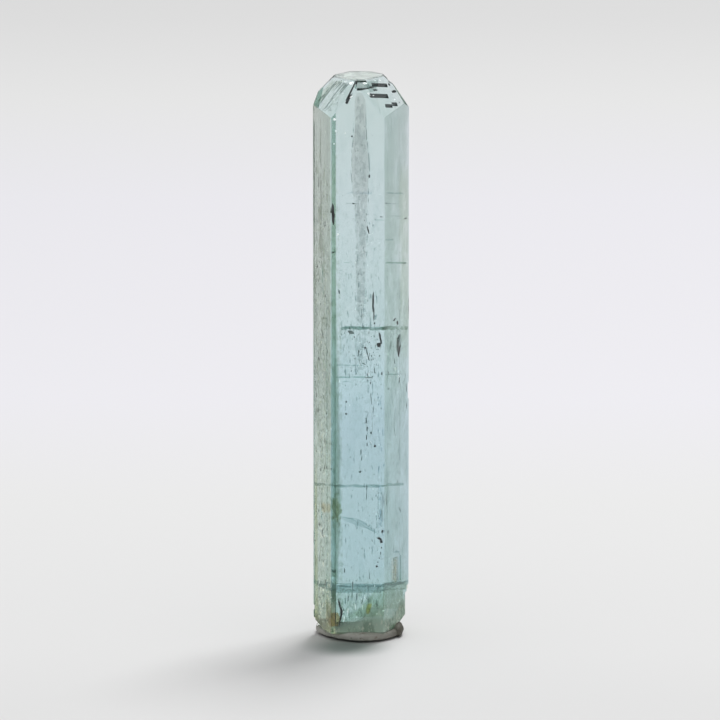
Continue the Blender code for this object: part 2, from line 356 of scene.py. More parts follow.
crystal = {
    # distance of each long side from the axis, by the way it looks
    "sides": {0: 3.33, 60: 3.53, 120: 4.26, 180: 3.33, -120: 3.69, -60: 4.10},
    # sloping faces of the tip: the way each looks, its slope, and its reach at the flat top
    "tip": [
        (52, 56.7, 1.50), (-51, 56.7, 2.04), (79, 56.7, 2.24), (101, 56.7, 2.50), (90, 45.0, 2.06),
        (-90, 45.0, 2.48), (-101, 74.0, 3.52), (-128, 56.7, 2.30), (128, 52.0, 2.20),
        (180, 45.0, 2.45),
    ],
    "foot": 0.78,
    "rough": 20,  # width of the block that the prism is broken out of
    "edgeSoftness": 0.03,
    # terraces down the stepped face: depth of the lip, riser height, left and right ends
    "terraces": [
        (0.88, 0.33, -0.74, 1.31), (1.74, 0.37, -1.74, 0.71),
        (2.68, 0.31, -0.30, 0.62), (2.66, 0.33, 0.70, 1.40),
    ],
    "terraceTilt": -10.3,
    "cutterReach": 3,  # how far each cutter stands out of the crystal
    # single notches in the tip: azimuth, riser distance, sideways, width, depth
    "notches": [
        (0, 2.00, 0.20, 1.20, 0.81), (72, 3.05, -0.10, 0.90, 1.90), (96, 2.50, 0.60, 0.90, 0.80),
        (150, 2.55, 0.00, 1.70, 0.75), (-146, 2.70, 0.30, 1.30, 1.10),
    ],
    # growth steps: azimuth, sideways, width, depth, lowest, highest
    "growthSteps": [
        (0, -2.62, 0.44, 0.02, -1, 25), (120, 0.95, 0.70, 0.02, -1, 49.2),
        (180, -1.90, 0.80, 0.02, -1, 49.2), (180, 0.30, 0.60, 0.02, 8, 49.2),
        (-120, -1.20, 0.70, 0.02, -1, 49.2), (-120, 0.75, 0.50, 0.02, 14, 48),
        (-60, -1.45, 0.55, 0.06, -1, 49.2), (-60, 0.90, 0.45, 0.04, 3, 33),
    ],
    # etch pits: azimuth, sideways, height, width, tallness, depth. Wide ones have square edges
    "pits": [
        (60, 0.53, 6.5, 1.70, 2.45, 0.05), (60, 0.55, 29.0, 0.30, 0.90, 0.04),
        (0, 1.30, 28.6, 0.25, 0.90, 0.05), (0, 0.95, 18.7, 0.20, 0.80, 0.04),
        (-60, 0.10, 34.5, 0.50, 3.20, 0.07), (-60, 0.00, 12.0, 0.80, 1.60, 0.10),
        (180, -0.80, 20.0, 0.60, 2.60, 0.08), (-120, -0.10, 9.0, 0.80, 1.40, 0.09),
        (120, -0.40, 31.0, 0.60, 2.20, 0.08),
    ],
    "widestDimple": 1.5,  # pits up to this width are round
    "dimpleNoise": (0.22, 3.1),  # how uneven the round pits are, and how finely
    # breaks in the two outermost edges: azimuth, height, tallness, depth
    "edgeBreaks": [
        (90, 2.60, 2.70, 0.34), (90, 4.10, 0.90, 0.20), (90, 23.30, 1.50, 0.10),
        (-90, 2.65, 0.45, 0.12), (-90, 1.30, 0.70, 0.20),
    ],
    "edgeReach": 4.5,  # how far these edges are from the axis
    "breakWidth": 6,
    "breakFlare": 0.3,  # divided by the depth, so that shallow breaks flare more
    # slanting breaks round the foot: azimuth, fall, distance, height
    "footBreaks": [(90, 44, 4.12, 1.76), (-82, 42, 4.42, 1.55), (168, 58, 3.25, 0.95)],
    "ior": 1.577,
    "absorptionColor": (0.2, 0.658, 0.55),
    "absorptionDensity": 60.0,
    # tint from foot to tip: height and colour
    "tintZones": [
        (0.0, (0.54, 0.68, 0.64)), (4.0, (0.58, 0.74, 0.76)), (6.5, (0.66, 0.79, 0.87)),
        (20.0, (0.66, 0.77, 0.84)), (24.0, (0.74, 0.85, 0.90)), (31.0, (0.84, 0.90, 0.91)),
        (42.0, (0.93, 0.94, 0.95)), (53.4, (0.96, 0.96, 0.98)),
    ],
    "cloudPattern": {"Scale": 1000.0, "Stretch": 0.3, "Low": 0.5, "High": 0.66},
    "streakPattern": {"Across": 2500.0, "Along": 40.0},
    "streakHeight": 0.02,
}
# how the skin of the crystal differs from face to face: its colour, the colour and the roughness
# where it is cloudy, its roughness elsewhere, the height of its growth lines, and zone, how much of
# the tint by height it takes
berylFinishes = {
    "clear": {"skin": (0.98, 0.98, 1.0), "cloud": (0.90, 0.93, 0.93), "smooth": 0.0,
              "matte": 0.03, "relief": 0.04, "zone": 1.0},
    "clouded": {"skin": (0.64, 0.60, 0.48), "cloud": (0.74, 0.76, 0.70), "smooth": 0.10,
                "matte": 0.30, "relief": 0.25, "zone": 0.0},
    # painted shade: a nearly black skin on the terrace faces and the front notch's tread, where the tip
    # looks dark
    "ledgePaintedShade": {"skin": (0.004, 0.005, 0.005), "cloud": (0.8, 0.8, 0.8), "smooth": 0.05,
              "matte": 0.2, "relief": 0.1, "zone": 0.0},
    "broken": {"skin": (0.85, 0.9, 0.8), "cloud": (0.8, 0.8, 0.66), "smooth": 0.2,
               "matte": 0.6, "relief": 0.8, "zone": 1.0},
    "backRight": {"skin": (0.62, 0.58, 0.52), "cloud": (0.88, 0.90, 0.86), "smooth": 0.0,
                  "matte": 0.05, "relief": 0.1, "zone": 0.3},
    "frosted": {"skin": (1.0, 1.0, 1.0), "cloud": (0.9, 0.9, 0.9), "smooth": 0.55,
                "matte": 0.75, "relief": 0.5, "zone": 0.0},
    "smoky": {"skin": (0.36, 0.42, 0.41), "cloud": (0.6, 0.66, 0.64), "smooth": 0.1,
              "matte": 0.3, "relief": 0.3, "zone": 0.0},
}
clear, clouded, ledgePaintedShade, broken, backRight, frosted, smoky = range(len(berylFinishes))
crystalMarkers = [bpy.data.materials.new(name) for name in berylFinishes]


# The flat faces of the crystal, each as a place on it and the way it looks. Unit is 1 for
# millimetres and mm for metres.


def sidePlanes(unit=1):
    return [(direction(azimuth) * distance * unit, direction(azimuth))
            for azimuth, distance in crystal["sides"].items()]


def tipPlanes(unit=1):
    top = Vector((0, 0, topHeight / mm * unit))
    return [(direction(azimuth) * reach * unit + top, direction(azimuth, 90 - slope))
            for azimuth, slope, reach in crystal["tip"]]


def footPlanes(unit=1):
    return [(direction(azimuth) * distance * unit + Vector((0, 0, height * unit)),
             direction(azimuth, -fall))
            for azimuth, fall, distance, height in crystal["footBreaks"]]


def cleave(bm, point, normal):
    # breaks off all that lies beyond a plane and closes the cut with one flat face
    everything = bm.verts[:] + bm.edges[:] + bm.faces[:]
    cut = bmesh.ops.bisect_plane(
        bm, geom=everything, dist=1e-7, plane_co=point, plane_no=normal, clear_outer=True
    )
    edges = [item for item in cut["geom_cut"] if isinstance(item, bmesh.types.BMEdge)]
    if edges:
        bmesh.ops.contextual_create(bm, geom=edges)


def cleaveAll(bm, planes, inset=0.0):
    for place, facing in planes:
        cleave(bm, place - facing * inset, facing)


def makeColumn():
    # the six-sided prism with its sloping tip and its broken foot
    width, foot = crystal["rough"] * mm, crystal["foot"] * mm
    bm = bmesh.new()
    bmesh.ops.create_cube(bm, size=1.0)
    bmesh.ops.scale(bm, vec=(width, width, topHeight - foot), verts=bm.verts)
    bmesh.ops.translate(bm, vec=(0, 0, (topHeight + foot) / 2), verts=bm.verts)
    cleaveAll(bm, sidePlanes(mm) + tipPlanes(mm) + footPlanes(mm))
    bmesh.ops.bevel(
        bm, geom=bm.edges[:], offset=crystal["edgeSoftness"] * mm, affect="EDGES", segments=1,
        profile=0.5, material=-1, clamp_overlap=True,
    )
    return objectFrom(bm, "aquamarine", *crystalMarkers)


def placeCutter(bm, azimuth, finish, tread):
    # the faces that a cutter leaves behind take this finish, and the flat ones looking up tread's
    for face in bm.faces:
        face.normal_update()
        face.material_index = tread if face.normal.y < -0.9 else finish
    toMetres(bm)
    bmesh.ops.transform(bm, matrix=sideMatrix(azimuth), verts=bm.verts)
    return objectFrom(bm, "cutter", *crystalMarkers)


def cutterBlock(azimuth, corner, size, finish, tread, flare=0.0, tilt=0.0, slope=90.0):
    # a block to cut with, in millimetres sideways, up and outwards on one side. The middle of its
    # lower back edge is at corner, and it is tilted in the plane of a face of this slope
    bm = bmesh.new()
    bmesh.ops.create_cube(bm, size=1.0)
    bmesh.ops.scale(bm, vec=size, verts=bm.verts)
    for vertex in bm.verts:
        if vertex.co.z > 0:
            vertex.co.y += math.copysign(flare, vertex.co.y)
    bmesh.ops.translate(bm, vec=(0, size[1] / 2, size[2] / 2), verts=bm.verts)
    steep = math.radians(slope)
    turn = Matrix.Rotation(math.radians(tilt), 3, Vector((0, math.cos(steep), math.sin(steep))))
    bmesh.ops.rotate(bm, cent=(0, 0, 0), matrix=turn, verts=bm.verts)
    bmesh.ops.translate(bm, vec=corner, verts=bm.verts)
    return placeCutter(bm, azimuth, finish, tread)


def cutterLens(azimuth, middle, size):
    # a long rounded body to cut with, which leaves a shallow dimple
    bm = bmesh.new()
    bmesh.ops.create_icosphere(bm, subdivisions=3, radius=0.5)
    roughness, fineness = crystal["dimpleNoise"]
    for vertex in bm.verts:
        vertex.co *= 1 + roughness * noise.noise(vertex.co * fineness + Vector(middle))
    bmesh.ops.scale(bm, vec=size, verts=bm.verts)
    bmesh.ops.translate(bm, vec=middle, verts=bm.verts)
    return placeCutter(bm, azimuth, clear, clear)


def stepCutters():
    cutters = []
    reach = crystal["cutterReach"]
    for azimuth, side, width, depth, low, high in crystal["growthSteps"]:
        corner = (side, low, crystal["sides"][azimuth] - depth)
        cutters.append(cutterBlock(azimuth, corner, (width, high - low, reach), clear, clear))
    for azimuth, side, height, width, tall, depth in crystal["pits"]:
        if width > crystal["widestDimple"]:
            corner = (side, height - tall / 2, crystal["sides"][azimuth] - depth)
            cutters.append(cutterBlock(azimuth, corner, (width, tall, reach), clear, clear))
        else:
            middle = (side, height, crystal["sides"][azimuth])
            cutters.append(cutterLens(azimuth, middle, (width, tall, 2 * depth)))
    return cutters


def tipCutters():
    cutters = []
    azimuth, slope, reach = crystal["tip"][0]
    top = topHeight / mm
    tilt, outward = crystal["terraceTilt"], crystal["cutterReach"]
    for depth, riserHeight, left, right in crystal["terraces"]:
        riser = reach + (depth - riserHeight) / math.tan(math.radians(slope))
        corner = ((left + right) / 2, top - depth, riser)
        size = (right - left, outward, outward)
        # the terrace faces take the nearly black painted-shade finish
        cutters.append(cutterBlock(azimuth, corner, size, ledgePaintedShade, ledgePaintedShade, tilt=tilt, slope=slope))
    for azimuth, riser, side, width, depth in crystal["notches"]:
        corner = (side, top - depth, riser)
        # on the front notch the tread takes the painted-shade finish
        riserFinish, tread = (smoky, ledgePaintedShade) if azimuth == 0 else (clear, clear)
        size = (width, outward, outward)
        cutters.append(cutterBlock(azimuth, corner, size, riserFinish, tread))
    return cutters


def breakCutters():
    cutters = []
    for azimuth, height, tall, depth in crystal["edgeBreaks"]:
        corner = (0, height - tall / 2, crystal["edgeReach"] - depth)
        size = (crystal["breakWidth"], tall, crystal["cutterReach"])
        flare = crystal["breakFlare"] / depth
        cutters.append(cutterBlock(azimuth, corner, size, broken, broken, flare=flare))
    return cutters


def tintByHeight(tree):
    share = remap(tree, objectPlace(tree, "Z"), 0.0, topHeight)
    zones = [(height * mm / topHeight, color) for height, color in crystal["tintZones"]]
    return addRamp(tree, share, zones)


def finishMasks(tree):
    # one mask for each finish after the first, from the numbers stored on the faces
    masks = []
    for name in ("finishA", "finishB"):
        values = {"Color": stored(tree, name)}
        masks += addNode(tree, "SeparateColor", values).node.outputs[:3]
    return masks


def pickFinish(tree, masks, field):
    # follows each face's own finish: a colour where field names one, otherwise a number
    current, *others = [finish[field] for finish in berylFinishes.values()]
    for value, mask in zip(others, masks):
        if isinstance(value, tuple):
            current = mixColors(tree, current, value, mask)
        else:
            current = addNode(tree, "Mix", {0: mask, 2: current, 3: value})
    return current


def makeBeryl():
    material, tree, shader = newMaterial("beryl")
    masks = finishMasks(tree)
    skin, cloud, smooth, matte, relief, zone = [
        pickFinish(tree, masks, field)
        for field in ("skin", "cloud", "smooth", "matte", "relief", "zone")
    ]
    patches = cloudMask(tree, crystal["cloudPattern"])
    color = mixColors(tree, skin, tintByHeight(tree), zone, "MULTIPLY")
    values = {"Place": objectPlace(tree), **crystal["streakPattern"]}
    streak = addNode(tree, "Group", values, node_tree=streaks)
    height = addNode(tree, "Math", {0: streak, 1: relief}, operation="MULTIPLY")
    values = {"Height": height, "Strength": 1.0, "Distance": crystal["streakHeight"] * mm}
    feed(tree, shader, {
        "Base Color": mixColors(tree, color, cloud, patches, "MULTIPLY"),
        "Roughness": remap(tree, patches, 0.0, 1.0, smooth, matte),
        "Normal": addNode(tree, "Bump", values),
        "Transmission Weight": 1.0,
        "IOR": crystal["ior"],
    })
    values = {"Color": crystal["absorptionColor"], "Density": crystal["absorptionDensity"]}
    volume = addNode(tree, "VolumeAbsorption", values)
    feed(tree, tree.nodes["Material Output"], {"Volume": volume})
    return material


def finishOf(face):
    # the finish of a face that no cutter left behind
    for azimuth, rise, likeness, finish in (
        (-60, 0, 0.88, clouded), (-101, 16, 0.995, clouded), (120, 0, 0.88, backRight),
    ):
        if face.normal.dot(direction(azimuth, rise)) > likeness:
            return finish
    if face.normal.z > 0.99:
        return frosted
    return broken if face.normal.z < -0.3 else clear


def finishFaces(mesh):
    # stores each face's finish in the mesh as two colours, which the material reads as masks
    first = mesh.color_attributes.new("finishA", "FLOAT_COLOR", "CORNER")
    second = mesh.color_attributes.new("finishB", "FLOAT_COLOR", "CORNER")
    for face in mesh.polygons:
        finish = face.material_index or finishOf(face)
        shares = [float(finish == number) for number in range(1, len(berylFinishes))]
        for corner in face.loop_indices:
            first.data[corner].color = (*shares[:3], 1.0)
            second.data[corner].color = (*shares[3:], 1.0)
        face.material_index = 0


def makeCrystal():
    made = makeColumn()
    cutAway(made, stepCutters() + tipCutters() + breakCutters())
    finishFaces(made.data)
    made.data.materials.clear()
    made.data.materials.append(makeBeryl())
    for marker in crystalMarkers:
        bpy.data.materials.remove(marker)
    standFor(made, "aquamarine_crystal")
    print("crystal ready:", len(made.data.polygons), "faces")


makeCrystal()


# What is inside the crystal. Heights are those at which a thing shows beside the front face: what
# lies further back is lowered by sightFall for each millimetre.

sightFall = math.tan(math.radians(studio["cameraRise"]))
faceFrames = {
    # the way each face looks, its slope, and its distance from the axis at the flat top
    "front": (0, 90.0, 3.33),
    "right": (60, 90.0, 3.53),
    "left": (-60, 90.0, 4.10),
    "tipLeft": (-51, 56.7, 2.04),
    "tipRight": (52, 56.7, 1.50),
    "tipCorner": (-101, 74.0, 3.52),
}


def underFace(face, side, height, depth):
    # the place at this depth under a face, in millimetres
    azimuth, slope, reach = faceFrames[face]
    fall = 1 / math.tan(math.radians(slope)) if slope < 90 else 0.0
    out = reach + (topHeight / mm - height) * fall
    place = Vector((math.cos(math.radians(azimuth)), math.sin(math.radians(azimuth)), 0)) * side
    place += direction(azimuth) * out - direction(azimuth, 90 - slope) * depth
    place.z += height
    if slope == 90:
        place.z -= sightFall * (place.y + crystal["sides"][0])
    return place


def fadeIn(distance, soft):
    share = max(0.0, min(1.0, distance / soft))
    return share * share * (3 - 2 * share)


def along(points, x):
    # height of a bent line at x
    for (x0, y0), (x1, y1) in zip(points, points[1:]):
        if x <= x1:
            share = max(0.0, (x - x0) / (x1 - x0))
            return y0 + (y1 - y0) * share
    return points[-1][1]


def stainAll(bm, tint):
    layer = bm.verts.layers.float_color.new("stain")
    for vertex in bm.verts:
        vertex[layer] = (*tint, 1.0)


def insideCrystal(bm, name, material):
    # finishes a piece that was built in millimetres
    toMetres(bm)
    rideInside(objectFrom(bm, name, material))


# Films just under the skin, one piece for each pattern. Each sheet has its face, its softness at
# the edges, its tint, and rows from top to bottom: height, left end, right end, strength.


def band(face, soft, tint, left, right, *stops):
    # a sheet whose ends stay where they are. A stop is a height and a strength
    return face, soft, tint, [(height, left, right, strength) for height, strength in stops]


# haze and stains under the skin, together with sheets of painted shade over the sides, the tip's
# terraces and the curved break
hazeAndPaintedShade = {
    "pattern": {"Scale": 900, "Stretch": 0.35, "Low": 0.08, "High": 0.5},
    "sheets": [
        # the smoky veil
        ("front", 0.1, (0.83, 0.82, 0.81), [
            (52.5, -0.4, 0.1, 0.5), (51.8, -0.62, 0.42, 0.9), (50.6, -0.64, 0.52, 1),
            (49.4, -0.6, 0.52, 1), (48.3, -0.72, 0.54, 1), (47, -0.86, 0.7, 1), (45, -0.94, 0.8, 1),
            (43, -0.82, 0.68, 0.9), (41.5, -0.7, 0.6, 0.7), (39.8, -0.45, 0.58, 0.7),
            (38, -0.5, 0.52, 0.65), (36, -0.6, 0.5, 0.6), (33.5, -0.45, 0.4, 0.6),
            (30.6, -0.4, 0.2, 0.5)]),
        # painted shade over the right side
        band("right", 0.08, (0.66, 0.73, 0.68), -1.9, 2.9,
            (52.4, 0.9), (44, 0.83), (36, 0.7), (30.4, 0.72), (29.9, 0.82), (28.4, 0.8), (27, 0.6),
            (24, 0.56), (4, 0.6)),
        # a yellow tinge far on the right
        ("right", 0.5, (0.99, 0.98, 0.91), [
            (46, 1, 3.1, 0.5), (42, 0.8, 3.1, 1), (34, 0.9, 3.1, 0.9), (27, 1.2, 3.1, 0.5)]),
        # painted shade over the upper left side
        band("left", 0.08, (0.82, 0.83, 0.84), -2, 1.5, (52, 1), (25, 1), (20, 0.3), (15, 0.1)),
        # painted green shade that fades out beside the front left edge
        ("front", 0.55, (0.52, 0.62, 0.54), [
            (35, -2.8, -2, 0.3), (28, -2.8, -1.9, 0.8), (25, -2.8, -1.8, 1), (20, -2.82, -1.7, 1.05),
            (15, -2.85, -1.68, 1.1), (12, -2.85, -1.65, 1.1), (8, -2.8, -1.8, 1),
            (5.2, -2.8, -1.85, 0.9)]),
        # painted shade inside the curved break
        ("front", 0.1, (0.76, 0.82, 0.82), [
            (12.05, -1.9, -0.9, 0.5), (11.74, -1.8, -0.4, 1), (11.27, -0.6, 0.65, 1),
            (10.8, 0.8, 1.4, 1), (10.5, 1.5, 1.7, 0.6)]),
        # green clouds that hang over the root
        ("front", 0.4, (0.72, 0.8, 0.7), [
            (5.6, 1.4, 2.6, 0.4), (4.6, 0.8, 2.6, 0.9), (3.4, -0.2, 2.6, 1), (2.2, -1.6, 2.6, 1)]),
        band("right", 0.3, (0.74, 0.78, 0.7), -2.2, 3.1, (5.9, 0.6), (4.6, 1), (3, 1)),
        band("left", 0.3, (0.84, 0.86, 0.78), -2, 1.8, (5.6, 0.4), (3, 0.8), (0.9, 1)),
        # brown and orange stains
        ("front", 0.3, (0.84, 0.6, 0.36), [
            (2.95, -3, -2.1, 1), (2.15, -3, -1.75, 1.7), (1.35, -3, -2.1, 1)]),
        ("left", 0.3, (0.9, 0.74, 0.56), [
            (2.6, 0.9, 1.5, 0.5), (2, 0.6, 1.5, 1.2), (1.4, 0.9, 1.5, 0.5)]),
        ("front", 0.12, (0.8, 0.68, 0.28), [
            (3.8, 0.6, 1.15, 0.6), (3.1, 0.4, 0.95, 1.1), (2.6, 0.45, 0.8, 0.5)]),
        ("left", 0.4, (0.86, 0.74, 0.58), [
            (13.6, -0.8, 1.5, 0.7), (12.8, -0.6, 1.5, 1), (12.2, -0.2, 1.5, 0.6)]),
        ("front", 0.3, (0.68, 0.69, 0.5), [
            (14.1, -2.86, -2.1, 0.8), (12.9, -2.86, -1.8, 1), (11.5, -2.86, -2, 0.8)]),
        # the yellow-green left edge
        ("left", 0.2, (0.92, 0.92, 0.72), [
            (18.5, -1.95, -1.15, 0.4), (14, -1.95, -1.05, 0.8), (6, -1.95, -1, 0.9),
            (1, -1.95, -0.9, 0.9)]),
        # the tip: green rim on the left, painted shade over the terraces
        ("tipLeft", 0.3, (0.86, 0.88, 0.82), [
            (53.3, -1.5, 0.5, 0.9), (52.6, -2, -0.5, 1), (51.8, -2.3, -1.1, 1), (51, -2.6, -1.5, 0.9),
            (50.2, -2.9, -1.9, 0.6)]),
        ("tipRight", 0.3, (0.62, 0.69, 0.67), [
            (53.35, -1.6, 0.9, 1), (52.9, -1.8, 0.4, 1), (52.4, -1.7, -0.3, 0.9),
            (52.1, -1.5, -0.9, 0.6)]),
        band("tipCorner", 0.1, (0.9, 0.8, 0.74), -4, 4, (53.2, 1), (49.5, 1)),
    ],
}
mottling = {
    "pattern": {"Scale": 3000, "Stretch": 0.6, "Low": 0.4, "High": 0.62},
    "sheets": [
        band("left", 0.1, (0.74, 0.77, 0.7), -1.95, 1.5,
            (51, 0.72), (43, 0.8), (38, 0.92), (24, 0.96), (14, 0.9), (1, 0.96)),
        ("front", 0.2, (0.8, 0.82, 0.82), [
            (52, -0.55, 0.35, 1), (47, -0.8, 0.6, 1.05), (43, -0.8, 0.6, 1), (36, -0.6, 0.5, 1.05),
            (30.6, -0.6, 0.6, 1.1), (26, -0.8, 0.7, 1)]),
        band("front", 0.25, (0.89, 0.92, 0.91), -2.2, 2.2,
            (42, 0.8), (34, 0.86), (29, 0.95), (24.8, 0.9), (18, 0.8), (6, 0.8)),
        band("right", 0.2, (0.86, 0.9, 0.86), -1.8, 2.8,
            (44, 0.8), (30, 0.95), (24, 0.9), (10, 0.8), (1, 1.1)),
        ("front", 0.2, (0.7, 0.76, 0.7), [
            (6.4, -2.4, 2.2, 0.7), (4.5, -2.4, 2.2, 0.95), (1, -2.6, 2.2, 1.15)]),
        ("tipLeft", 0.2, (0.84, 0.86, 0.83), [
            (53.2, -1.4, 1.2, 1), (51.5, -2.2, 0.6, 0.95), (50.4, -2.6, 0.8, 0.9)]),
        band("tipCorner", 0.1, (0.66, 0.66, 0.6), -4, 4, (53.2, 1.1), (49.5, 1.1)),
        ("front", 0.22, (0.58, 0.65, 0.49), [
            (14.6, -2.95, -1.9, 0.9), (12.9, -2.95, -1.6, 1.05), (10.8, -2.95, -1.8, 0.85)]),
        # the strip beside the front left edge is blotchy too
        ("front", 0.15, (0.8, 0.83, 0.78), [
            (48, -2.95, -2.1, 0.85), (30, -2.95, -1.7, 0.95), (1, -2.95, -1.5, 1)]),
    ],
}
strokes = {
    "pattern": {"Scale": 5200, "Stretch": 0.2, "Low": 0.55, "High": 0.63},
    "sheets": [
        ("front", 0.25, (0.5, 0.58, 0.58), [
            (45, -2, 2.1, 0.85), (36, -2, 2.1, 0.92), (30.5, -2.1, 2.1, 0.97), (24.8, -2.1, 2.1, 0.97),
            (22, -1.8, 2.1, 0.88), (14, -1.8, 2.1, 0.9), (6, -1.8, 2.1, 0.94), (2, -2, 2.1, 1.02)]),
        ("front", 0.2, (0.6, 0.7, 0.76), [(24, 1.2, 2.3, 0.94), (18, 1.4, 2.3, 1), (10, 1.45, 2.3, 1)]),
        band("right", 0.2, (0.56, 0.64, 0.6), -1.7, 2.7,
            (42, 0.78), (31, 0.88), (25, 0.96), (18, 0.88), (6, 0.9), (1.2, 1)),
        band("left", 0.1, (0.7, 0.73, 0.69), -1.9, 1.4,
            (50, 0.86), (40, 0.9), (34, 0.86), (20, 0.86), (1.5, 0.86)),
        ("left", 0.05, (0.45, 0.48, 0.44), [
            (50.2, -0.66, -0.4, 1.25), (44, -0.62, -0.36, 1.3), (36, -0.62, -0.36, 1.1),
            (30, -0.7, -0.3, 0.9)]),
        ("left", 0.03, (0.42, 0.46, 0.44), [
            (49.5, -1.95, -1.72, 1.4), (42, -1.95, -1.74, 1.35), (36, -1.95, -1.74, 1)]),
        # the veil's dark edges
        ("front", 0.05, (0.45, 0.5, 0.5), [
            (50.6, 0.38, 0.56, 1.2), (48.3, 0.42, 0.6, 1.25), (47, 0.6, 0.78, 1.3),
            (45, 0.7, 0.88, 1.35), (43, 0.6, 0.76, 1.2), (38, 0.5, 0.66, 1.1)]),
        ("front", 0.05, (0.5, 0.55, 0.55), [
            (50.6, -0.72, -0.56, 1.1), (48.3, -0.82, -0.64, 1.2), (45, -1.02, -0.86, 1.25),
            (42.6, -0.8, -0.62, 1.1)]),
    ],
}
slantingStrokes = {
    "pattern": {"Scale": 3600, "Stretch": 0.12, "Lean": -0.62, "Low": 0.52, "High": 0.58},
    "sheets": [
        ("tipLeft", 0.25, (0.48, 0.53, 0.52), [
            (53.3, -1.4, 1.4, 1.03), (52.4, -2, 1, 1.03), (51.4, -2.2, 0.9, 1),
            (50.2, -2.2, 0.9, 0.9)]),
    ],
}
dashes = {
    "pattern": {"Scale": 900, "Stretch": 3, "Low": 0.44, "High": 0.58},
    "sheets": [
        band("front", 0.08, (0.8, 0.85, 0.88), -1.6, 1.2, (43.2, 1), (42.75, 1)),
        band("front", 0.05, (0.55, 0.64, 0.63), -2.2, 0.2, (42.08, 1), (41.88, 1)),
        band("front", 0.05, (0.62, 0.72, 0.7), 1.1, 2.1, (41, 1), (40.84, 1)),
        band("front", 0.05, (0.62, 0.72, 0.7), 1.3, 2.1, (40.5, 1), (40.34, 1)),
        band("front", 0.05, (0.66, 0.76, 0.74), 0.4, 2.1, (38.66, 1), (38.5, 1)),
        band("front", 0.05, (0.66, 0.78, 0.74), -2.6, -1, (36.46, 1), (36.32, 1)),
        band("front", 0.05, (0.62, 0.74, 0.72), -2.1, -0.8, (35.72, 1), (35.56, 1)),
        band("front", 0.05, (0.55, 0.72, 0.66), -2.3, -0.5, (27.62, 1), (27.46, 1)),
        band("front", 0.06, (0.6, 0.72, 0.7), -2.5, 0.3, (26.74, 1), (26.5, 1)),
        band("front", 0.06, (0.55, 0.7, 0.66), -2.6, 1.1, (25.6, 1), (25.36, 1)),
        band("front", 0.06, (0.6, 0.72, 0.7), -2, 0.9, (25.16, 1), (24.96, 1)),
        band("right", 0.06, (0.66, 0.76, 0.74), -1.6, 2.2, (43.12, 1.1), (42.82, 1.1)),
        band("right", 0.05, (0.62, 0.71, 0.69), -1.6, 0.6, (42.06, 1.1), (41.88, 1.1)),
        band("right", 0.05, (0.66, 0.76, 0.72), -1, 1.6, (40.9, 1), (40.72, 1)),
        band("right", 0.05, (0.64, 0.75, 0.7), -1.6, 0.9, (38.64, 1.1), (38.44, 1.1)),
        band("right", 0.06, (0.5, 0.64, 0.57), -1.6, 2.7, (36.5, 1.2), (36.24, 1.2)),
        band("right", 0.05, (0.58, 0.7, 0.67), -1.6, 2.6, (25.86, 1.1), (25.6, 1.1)),
        # the dark seam under the upper parting
        ("front", 0.2, (0.48, 0.6, 0.55), [
            (30.52, -1, 2.6, 0.92), (30.15, -2.4, 2.6, 1.15), (29.78, -1.6, 2.6, 0.95)]),
        band("right", 0.2, (0.44, 0.56, 0.48), -2.2, 3.1, (30.54, 1.1), (29.76, 1.1)),
        band("front", 0.16, (0.56, 0.66, 0.64), -2.9, 2.4, (15.32, 1.2), (14.8, 1.2)),
        band("right", 0.16, (0.54, 0.65, 0.62), -2, 2.3, (15.42, 1.2), (14.9, 1.2)),
        band("left", 0.16, (0.5, 0.58, 0.54), -2.1, 1.7, (15.42, 1.2), (14.9, 1.2)),
        # an arched line low on the right, and the dark outermost left edge
        ("right", 0.06, (0.58, 0.68, 0.68), [(8.78, 0.35, 1.35, 1.3), (8.5, 0.45, 1.4, 1.3)]),
        band("right", 0.04, (0.6, 0.7, 0.7), 1.28, 1.42, (8.6, 1.2), (5.7, 1.2)),
        band("left", 0.04, (0.62, 0.64, 0.62), -1.97, -1.8, (51.3, 1.3), (40, 1.3), (31, 1)),
        # the second lip of the curved break
        ("front", 0.05, (0.6, 0.7, 0.7), [
            (12.12, -1.8, -0.7, 1.2), (12, -1.8, -0.5, 1.2), (11.95, -0.75, -0.35, 1.2),
            (11.5, 0.1, 0.5, 1.2), (11.1, 0.85, 1.2, 1.2)]),
        # upright lines where the front meets the right side
        ("front", 0.04, (0.55, 0.66, 0.68), [(15.2, 1.57, 1.69, 1.2), (10.9, 1.52, 1.64, 1.2)]),
        ("front", 0.04, (0.6, 0.7, 0.7), [(16.5, 1.85, 1.97, 1.1), (11, 1.8, 1.92, 1.1)]),
        band("right", 0.04, (0.65, 0.72, 0.7), -1.6, -1.48, (15, 1.1), (11, 1.1)),
        band("front", 0.06, (0.52, 0.64, 0.64), -2.6, 2.2, (5.54, 1.3), (5.26, 1.3)),
        band("front", 0.06, (0.56, 0.67, 0.66), -2.6, 2.2, (4.98, 1.3), (4.72, 1.3)),
        band("right", 0.06, (0.56, 0.67, 0.64), -1.7, 2.7, (5.7, 1.3), (5.4, 1.3)),
        band("right", 0.06, (0.6, 0.7, 0.67), -1.7, 2.7, (5.16, 1.3), (4.9, 1.3)),
        band("left", 0.06, (0.62, 0.7, 0.66), -1.8, 1.4, (5.6, 1.3), (5.3, 1.3)),
    ],
}
films = {
    "hazeAndPaintedShade": hazeAndPaintedShade,
    "mottling": mottling,
    "strokes": strokes,
    "slantingStrokes": slantingStrokes,
    "dashes": dashes,
}
filmBuild = {
    "depth": 0.05,  # of the first sheet under each face
    "spacing": 0.02,  # from that sheet to the next
    "thickness": 0.012,
    "inset": 0.04,  # how far the sheets end from the outside of the crystal
    "columns": 14,
    "rowsPerMillimetre": 8,
    "fewestRows": 4,
    "mostRows": 150,
    "chipped": (5.0, 2.0),  # below this height the right side ends here, where its edge broke away
}


